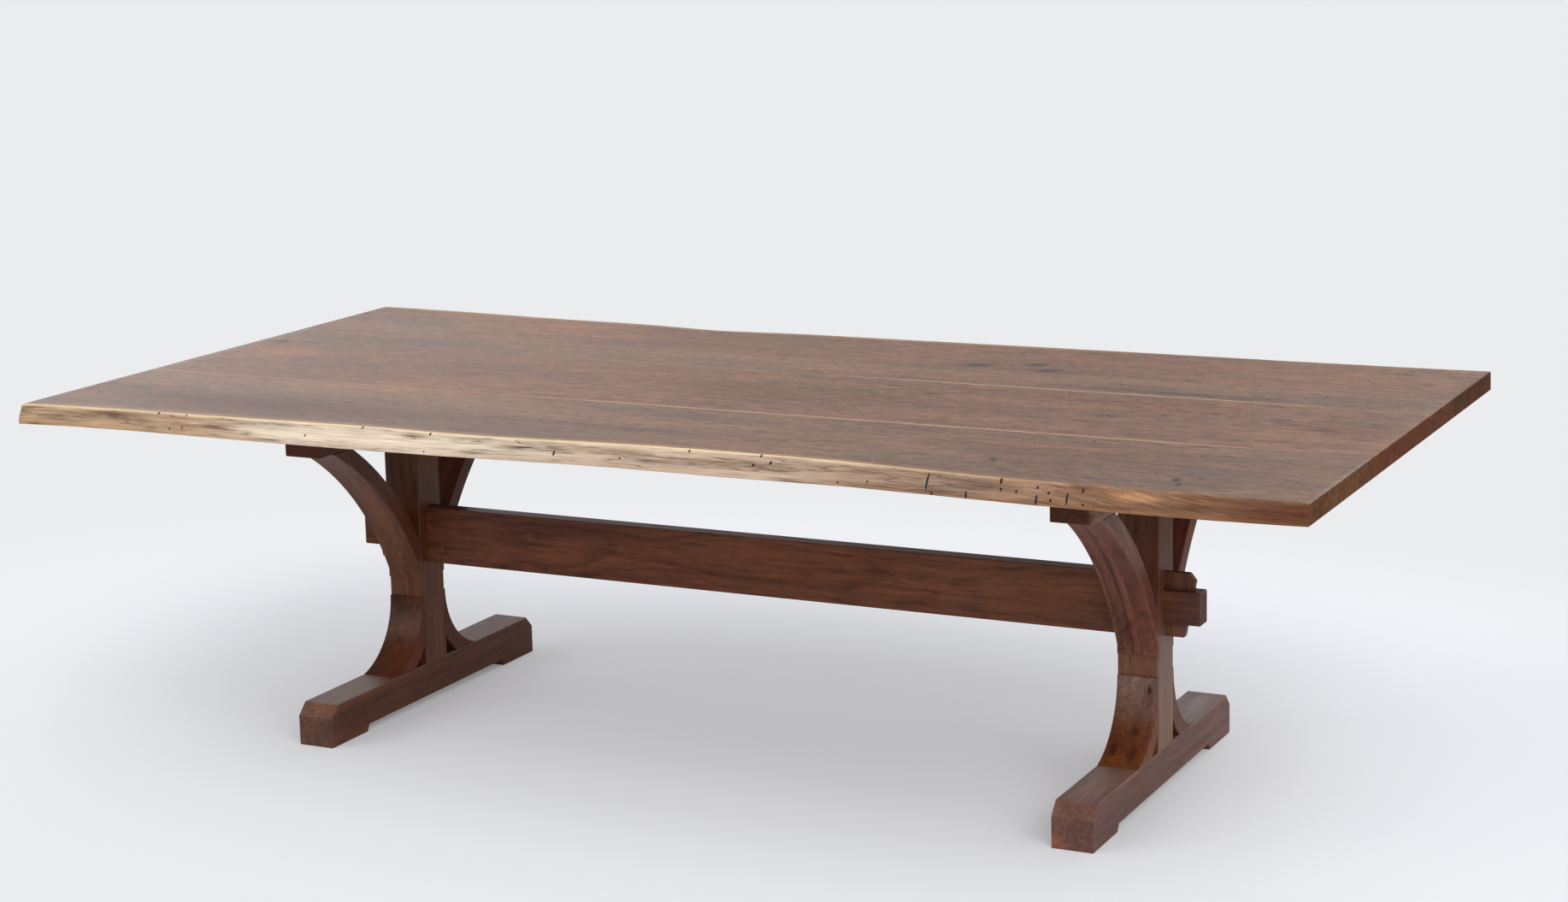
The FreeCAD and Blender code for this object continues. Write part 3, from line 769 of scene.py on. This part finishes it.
# %% Sapwood on a natural edge
EDGE_HUES = ((-1.4, rgb(168, 139, 110)), (-1.00, rgb(197, 181, 161)), (-0.30, rgb(179, 157, 137)),
             (0.30, rgb(148, 122, 101)), (0.65, rgb(132, 96, 70)), (1.05, rgb(95, 57, 35)))
EDGE_PATCHES = ((-1250, 20, 70, 16, (0.78, 0.76, 0.74)), (510, 34, 50, 7, (1.30, 1.30, 1.30)),
                (760, 22, 100, 22, (0.82, 0.86, 0.95)), (900, 31, 70, 16, (1.35, 1.45, 1.75)),
                (1075, 27, 60, 11, (2.15, 2.20, 1.95)), (1310, 20, 120, 26, (0.98, 0.87, 0.83)),
                (1000, 6, 70, 9, (0.78, 0.72, 0.66)), (1160, 14, 70, 12, (0.74, 0.70, 0.66)))
EDGE_PLACE = -0.64  # about where the front edge lies across the table


def sapwood(graph, colour, front):
    """The colour of a natural board, given the walnut colour of its flat part.

    The edge's own hue is picked by x. Fine and broad streaks shade it, the fine ones with a contrast
    that rises to the right, and thin veins lie where a slow noise crosses its middle value. Near the
    right end the fine grain runs out at a slant. A painted highlight in cream lies along the upper
    arris, and behind it the glow of sapwood falls from 1 to 0 over a reach that wanders along the
    board. Only the front edge has patches, clouds and marks.
    """
    x, y, z = graph.axes(graph.place())
    height = (z - slab_low.z) / (slab_high.z - slab_low.z)
    inset = graph.attribute("inset")
    run_out = z + graph.step(x, 0.85, 1.25) * 0.05
    fine = graph.noise(graph.vector(x * 12, y * 50, run_out * 330), 6.0, 0.75)
    grey = graph.stretched_noise((6, 30, 150), 4.0, 0.68, (21, 0, 0))
    broad = graph.stretched_noise((4, 8, 45), 3.0, 0.55, (7, 0, 0))
    wander = x + (graph.stretched_noise((6, 0, 40), 3.0, 0.6, (3, 0, 0)) - 0.5) * 0.35
    edge = EDGE_HUES[0][1]
    for start, hue in EDGE_HUES[1:]:
        edge = graph.mix(graph.step(wander, start, start + 0.3), edge, hue)
    contrast = graph.step(x, 0.4, 1.1) * 1.4 + 1.4
    edge = graph.shaded(edge, (fine - 0.5) * contrast + (broad - 0.5) * 1.2 + 1.08)
    edge = graph.mix(graph.step(fine, 0.41, 0.35) * 0.45, edge, graph.shaded(edge, 0.5))
    edge = graph.mix(graph.step(grey, 0.56, 0.63) * 0.4, edge, graph.mix(0.6, edge, rgb(92, 66, 48)))
    vein = (graph.stretched_noise((3.5, 12, 66), 3.0, 0.5, (0, 0, 31)) - 0.5).maths("ABSOLUTE")
    veined = graph.step(vein, 0.02, 0.005) * graph.step(broad, 0.54, 0.46)
    edge = graph.mix(veined * 0.55, edge, rgb(92, 62, 42))
    edge = graph.mix(graph.step(height, 0.4, 0.0) * 0.25, edge, rgb(150, 104, 66))
    if front:
        edge = tinted(graph, edge, [((x * MM, EDGE_PLACE, slab_low.z + up * MM),
                                     (long * MM, THROUGH_ALL, high * MM), tint)
                                    for x, up, long, high, tint in EDGE_PATCHES])
        edge = graph.mix(graph.attribute("cloud") * graph.step(fine, 0.62, 0.46), edge, rgb(88, 58, 38))
    pale = graph.step(x, 1.1, 0.2) * 0.75 + 0.05
    # Painted highlight: the rounded upper arris of the edge is mixed towards cream.
    crest_highlight = graph.step(inset, 5 * MM, 1 * MM) * graph.step(height + (fine - 0.5) * 0.2, 0.88, 0.99)
    edge = graph.mix(crest_highlight * pale, edge, rgb(230, 206, 166))
    reach = graph.stretched_noise((4, 0, 0), 3.0) * (60 * MM) + 4 * MM
    glow = graph.step(inset / reach, 1.0, 0.0) * pale
    colour = graph.mix(glow * 0.6, colour, rgb(190, 146, 104))
    colour = graph.mix(graph.step(inset, 2.5 * EASE, 0.6 * EASE), colour, edge)
    if front:
        colour = graph.mix(graph.step(graph.attribute("mark"), 0.2, 0.6), colour, rgb(24, 14, 10))
    return colour


# %% [markdown]
# ### The finish of the slab
#
# The boards are sanded and oiled, with a satin sheen. Each has its own figure, a few broad patches
# where the trunk was warmer or greyer, and its own defects: dots, short cracks filled dark, and a
# small knot. Three broad patches are painted light: two darken the top where the sky's sheen runs
# strong, and one pales and cools the far left as a painted sheen. A thin pale line of sapwood marks
# two of the seams. On the right end a thin dark line of glue marks all three.

# %% Patches and defects of the slab, in millimetres: x, y, half length, half width, then tint or turn
WARM, PINK, GREY = (1.28, 1.12, 1.02), (1.10, 0.98, 0.93), (0.87, 0.96, 1.04)
DARK, REDDISH = (0.70, 0.68, 0.68), (0.84, 0.70, 0.64)
PATCHES = {
    # Painted shade: the front board's first patch darkens the top where the sky's sheen runs strong.
    "front_board": ((-900, -520, 620, 130, (0.66, 0.48, 0.47)), (-700, -250, 480, 60, WARM),
                    (-20, -460, 240, 26, DARK), (1160, -470, 200, 50, GREY),
                    (520, -520, 260, 40, GREY), (-800, -560, 330, 40, GREY),
                    (900, -380, 420, 160, (0.92, 0.85, 0.84)), (1383, -420, 12, 300, (1.18, 1.60, 2.00))),
    "front_middle_board": ((-700, -205, 480, 60, WARM), (-760, -110, 420, 80, PINK),
                           (-1240, 60, 160, 90, WARM), (760, 110, 420, 34, REDDISH),
                           (1290, -30, 200, 55, REDDISH), (-250, -185, 200, 30, WARM),
                           (-820, 110, 200, 50, GREY), (150, 60, 400, 60, GREY),
                           # Painted shade: the last patch darkens the middle of the top, toning down its
                           # sheen.
                           (100, 0, 600, 160, (0.71, 0.70, 0.66))),
    "back_middle_board": ((-820, 310, 200, 60, GREY), (-1240, 300, 150, 60, PINK),
                          (300, 260, 420, 40, PINK), (900, 230, 300, 30, DARK)),
    "back_board": ((-1180, 480, 260, 80, GREY), (-250, 610, 240, 46, GREY), (-760, 560, 260, 60, WARM),
                   # Painted sheen: the patch at (-1100, 460) pales and cools the far left of the top.
                   (700, 540, 400, 60, PINK), (-1100, 460, 500, 200, (1.06, 1.18, 1.26)),
                   (1383, 500, 12, 500, (0.58, 0.70, 0.40)))}
GREY_CORE, BLACK_CORE = rgb(50, 54, 56), rgb(28, 18, 14)
STAINS = {
    "front_board": ((742, -488, 25, 4.0, 62, GREY_CORE), (742, -488, 25, 4.0, -62, GREY_CORE),
                    (1112, -541, 8, 13, 0, BLACK_CORE), (1127, -572, 7, 9, 0, BLACK_CORE),
                    (857, -273, 3.0, 8, 0, BLACK_CORE)),
    "front_middle_board": ((-1322, 170, 16, 12, 20, BLACK_CORE), (-498, -14, 3.5, 9, 0, BLACK_CORE),
                           (-209, 37, 3.5, 9, 0, BLACK_CORE), (791, -32, 26, 5.0, 12, BLACK_CORE),
                           (902, 3, 8, 7, 0, BLACK_CORE)),
    "back_middle_board": ((-421, 339, 3.5, 9, 0, BLACK_CORE), (1142, 299, 3.5, 9, 0, BLACK_CORE)),
    "back_board": ((342, 405, 34, 18, 17, GREY_CORE), (461, 450, 25, 17, 18, GREY_CORE),
                   (508, 391, 30, 17, 19, GREY_CORE), (-782, 438, 3.5, 10, 0, BLACK_CORE))}
print("patches and defects:", sum(map(len, PATCHES.values())), sum(map(len, STAINS.values())))


# %% Lines along the seams
SEAM_LINES = ((seam_front, 0.50, -0.5, 1.35), (seam_middle, 0.25, 0.0, 1.40))  # seam, least, rise, end
GLUE_FROM, GLUE_FULL = slab_high.x - 8 * MM, slab_high.x - 2 * MM


def with_seams(graph, colour):
    """The colour with lines on the seams: pale ones along the board, dark ones on the right end.

    A pale line starts at the least share of its strength, is at full strength 0.4 m after its rise,
    and fades out over the last 0.5 m before its end.
    """
    x, y = graph.axes(graph.place())[:2]
    for seam, least, rise, end in SEAM_LINES:
        line = graph.step((y - seam).maths("ABSOLUTE"), 6 * MM, 1.5 * MM)
        share = (graph.step(x, rise, rise + 0.4) * (1 - least) + least) * graph.step(x, end, end - 0.5)
        colour = graph.mix(line * share * 0.6, colour, rgb(206, 168, 130))
    for seam in (seam_front, seam_middle, seam_back):
        line = graph.step((y - seam).maths("ABSOLUTE"), 4 * MM, 1 * MM)
        colour = graph.mix(line * graph.step(x, GLUE_FROM, GLUE_FULL) * 0.6, colour, rgb(52, 34, 24))
    return colour


# %% Slab walnut
OPEN_END = (0.53, 0.26, 0.07)
KNOT_LEAST = 12  # half length in millimetres of the shortest defect that the grain flows round
KNOT_SPREAD = (1.8, 3, 1)  # how much larger the grain's detour is than the defect


def slab_walnut(node, seed, tones, heart, natural=False):
    """Walnut for a board of the slab, with its patches, stains and seam lines."""
    def placed(marks):
        """Marks in metres, as ellipsoids about points of the top that pass through the slab."""
        return [((x * MM, y * MM, slab_high.z), (long * MM, wide * MM, THROUGH_ALL), *rest)
                for x, y, long, wide, *rest in marks]

    low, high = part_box(node)
    knots = [(centre, [size * spread for size, spread in zip(half_sizes, KNOT_SPREAD)])
             for centre, half_sizes, *rest in placed(STAINS[node]) if half_sizes[0] > KNOT_LEAST * MM]
    graph = Graph("slab_walnut_" + node)
    parts = figure(graph, ALONG, (low + high) / 2, heart, wander=0.09, ring_width=7 * MM, seed=seed,
                   knots=knots)
    parts["end"] = parts["end"].maths("MAXIMUM", graph.attribute("worn") * 0.8)
    colour = walnut_colour(graph, parts, tones, SLAB_SHARES, OPEN_END)
    colour = with_seams(graph, tinted(graph, colour, placed(PATCHES[node])))
    colour = stained(graph, colour, placed(STAINS[node]))
    colour = graph.mix(graph.attribute("worn") * 0.15, colour, times(tones[0], 1.4))
    if natural:
        colour = sapwood(graph, colour, node == "front_board")
    return oiled(graph, parts, colour)


TAUPE = (rgb(130, 97, 74), rgb(114, 86, 69), rgb(98, 68, 50))
TAUPE_RED = (rgb(132, 94, 70), rgb(118, 85, 66), rgb(98, 64, 46))
front_piece.data.materials.append(slab_walnut("front_board", 2.3, TAUPE, (0.0, 0.2), True))
front_middle_piece.data.materials.append(slab_walnut("front_middle_board", 7.9, TAUPE_RED, (0.1, 0.16)))
back_middle_piece.data.materials.append(slab_walnut("back_middle_board", 4.4, TAUPE, (0.05, 0.2)))
back_piece.data.materials.append(slab_walnut("back_board", 9.2, TAUPE_RED, (0.0, 0.22), True))
print("nodes in the front board's walnut:", len(front_piece.data.materials[0].node_tree.nodes))

# %% [markdown]
# ## Hidden hardware
#
# Bolts, washers and inserts sit in the bearers, and beech tenons in the joints. They show only in a
# view from below or with the table in pieces, and get their own metal and timber.

# %% Finish the hardware
def metal(name, colour, roughness):
    """Bare metal whose shade and roughness vary with fine upright scratches."""
    graph = Graph(name)
    scratches = graph.stretched_noise((900, 900, 120), 3.0)
    return graph.principled(Base_Color=graph.mix(scratches, times(colour, 0.8), colour), Metallic=1.0,
                            Roughness=scratches * 0.2 + roughness)


steel = metal("zinc_plated_steel", rgb(190, 192, 194), 0.28)
brass = metal("turned_brass", rgb(201, 166, 98), 0.25)
BEECH = (rgb(205, 168, 124), rgb(222, 190, 148), rgb(212, 176, 134))
for side in ("left", "right"):
    for part in ("bolts", "washers"):
        dress(side + "_top_" + part, steel)
    dress(side + "_top_inserts", brass)
    dress(side + "_brace_tenons", walnut("beech_" + side, ACROSS, side + "_brace_tenons", BEECH))

# %% [markdown]
# ## Studio
#
# A seamless pale sweep: the floor is matt under the table and turns by degrees into an even glow
# further off, so that no horizon shows. The matt oval sits behind the table's middle, so the glow
# reaches in under the front edge: painted light that pushes the table's shadow back. The camera also
# sees a fifth of the glow everywhere on the floor, painted light that makes the shadow paler. An even
# sky does nearly half of the lighting, and four broad lamps the rest: the main one from the front
# right, weaker ones from the front left, from above and from behind. On a level surface they add up
# to a little over one, so a colour comes out about as it is written, and the table's shadow is soft.
# Shiny rays see the sky brighter to the left and near the horizon and dimmer behind the camera, which
# grades the sheen along the top, and they see a dimmer floor, so that the wood keeps its depth.

# %% Floor
BACKDROP = rgb(235, 236, 238)
FLOOR_COLOUR = rgb(232, 235, 241)
FLOOR_IN_SHEEN = rgb(112, 108, 104)
FLOOR_HALF = 40
# Behind the middle, so that the glow reaches in under the front edge: painted light that moves the table's
# shadow back.
MATT_MIDDLE_Y = 0.45  # the matt part is an oval round a place behind the table's middle
MATT_LENGTHEN = 0.36  # squared share of a distance along the table that counts
MATT_TO, GLOW_FROM = 0.5, 2.0
# The camera sees at least this share of the glow everywhere on the floor: painted light that makes the
# table's shadow paler.
LEAST_GLOW, LEAST_GLOW_IN_SHEEN = 0.2, 0.55

floor_mesh = bpy.data.meshes.new("studio_floor")
floor_corners = [(x * FLOOR_HALF, y * FLOOR_HALF, 0) for x, y in ((-1, -1), (1, -1), (1, 1), (-1, 1))]
floor_mesh.from_pydata(floor_corners, [], [(0, 1, 2, 3)])
floor = add_object("studio_floor", floor_mesh)
graph = Graph("studio_floor")
x, y = graph.axes(graph.place())[:2]
back = y - MATT_MIDDLE_Y
far = graph.step((x * x * MATT_LENGTHEN + back * back) ** 0.5, MATT_TO, GLOW_FROM)
camera_ray = graph.node("ShaderNodeLightPath", {}, {}, "Is Camera Ray")
glossy_ray = graph.node("ShaderNodeLightPath", {}, {}, "Is Glossy Ray")
matt = graph.node("ShaderNodeBsdfDiffuse", {}, {"Color": (*FLOOR_COLOUR, 1)})
glow = graph.node("ShaderNodeEmission", {},
                  {"Color": graph.mix(glossy_ray, BACKDROP, FLOOR_IN_SHEEN), "Strength": 1.0})
share = far.maths("MAXIMUM", camera_ray * LEAST_GLOW + glossy_ray * LEAST_GLOW_IN_SHEEN)
shader = graph.node("ShaderNodeMixShader", {}, {0: share, 1: matt, 2: glow})
floor_mesh.materials.append(graph.output(shader))

# %% World and lamps
SKY_STRENGTH = 0.46
LAMP_SPREAD = 50  # degrees

sky = Graph("studio", bpy.data.worlds)
bpy.context.scene.world = sky.made
x, y, z = sky.axes(sky.node("ShaderNodeTexCoord", {}, {}, "Generated"))
camera_ray = sky.node("ShaderNodeLightPath", {}, {}, "Is Camera Ray")
glossy_ray = sky.node("ShaderNodeLightPath", {}, {}, "Is Glossy Ray")
to_left = sky.step(x, -0.3, -0.85) * 1.5 + 0.43
to_back = sky.step(y, -0.4, 0.3) * 0.6 + 0.4
by_height = sky.step(z, 0.26, 0.12) * 0.85 + sky.step(z, 0.24, 0.40) * 0.35 + 0.5
sheen = to_left * to_back * by_height
lit = sky.node("ShaderNodeBackground", {}, {"Color": (1, 1, 1, 1), "Strength": SKY_STRENGTH})
shown = sky.node("ShaderNodeBackground", {},
                 {"Color": (*BACKDROP, 1), "Strength": camera_ray.maths("MAXIMUM", sheen)})
seen = camera_ray.maths("MAXIMUM", glossy_ray)
sky.output(sky.node("ShaderNodeMixShader", {}, {0: seen, 1: lit, 2: shown}), "ShaderNodeOutputWorld")

LAMPS = {"front_right": ((-0.6, 0.6, -0.5), 1.45), "front_left": ((0.6, 0.6, -0.5), 0.85),
         "above_right": ((-0.5, 0.1, -0.85), 0.6), "behind": ((-0.1, -0.7, -0.6), 1.0)}
for name, (direction, strength) in LAMPS.items():
    lamp_data = bpy.data.lights.new(name, "SUN")
    lamp_data.energy = strength
    lamp_data.angle = np.radians(LAMP_SPREAD)
    lamp = add_object(name, lamp_data)
    lamp.rotation_euler = Vector(direction).to_track_quat("-Z", "Y").to_euler()

bpy.context.scene.view_settings.view_transform = "Standard"
print("lamps:", len(LAMPS))
